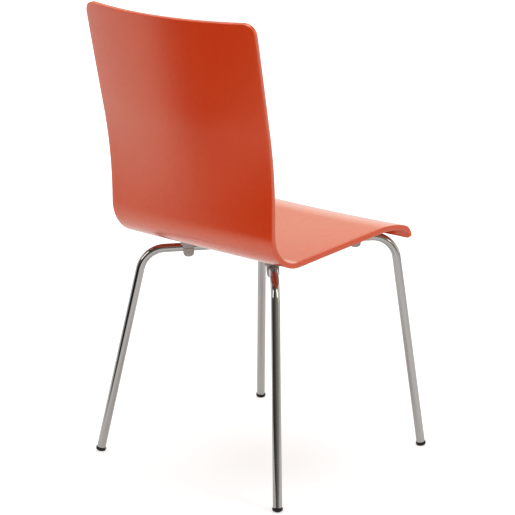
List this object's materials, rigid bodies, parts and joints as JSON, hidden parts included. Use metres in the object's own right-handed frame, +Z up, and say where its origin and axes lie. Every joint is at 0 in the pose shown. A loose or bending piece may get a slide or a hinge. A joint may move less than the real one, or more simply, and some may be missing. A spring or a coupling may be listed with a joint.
{
  "type": "stacking chair",
  "caption": "Stacking chair with a one-piece moulded plywood seat and back on crossed, bent chromed-tube legs with black glides.",
  "frame": {"origin": "on the floor under the centre of the chair's overall box", "axes": "+Z up, the sitter faces -Y, the sitter's left is +X"},
  "size_m": [0.4602, 0.4959, 0.8494],
  "materials": {
    "lacquered_plywood": "red-orange satin-gloss lacquer over moulded plywood",
    "chromed_tube": "polished chrome plate",
    "grey_plastic": "warm grey, fine moulded texture",
    "zinc_screws": "bright zinc plate",
    "brass_inserts": "machined",
    "black_glides": "black, satin"
  },
  "bodies": {
    "root": {"seat_shell": "lacquered_plywood", "long_leg_tube": "chromed_tube", "rear_right_leg_tube": "chromed_tube", "front_left_leg_tube": "chromed_tube", "crossing_weld": "chromed_tube", "spacer_rear_left": "grey_plastic", "spacer_rear_right": "grey_plastic", "spacer_front_left": "grey_plastic", "spacer_front_right": "grey_plastic", "stacking_buffer_rear_left": "grey_plastic", "stacking_buffer_rear_right": "grey_plastic", "stacking_buffer_front_left": "grey_plastic", "stacking_buffer_front_right": "grey_plastic", "shell_screws": "zinc_screws", "threaded_inserts": "brass_inserts", "glide_rear_left": "black_glides", "glide_rear_right": "black_glides", "glide_front_left": "black_glides", "glide_front_right": "black_glides"}
  },
  "joints": []
}
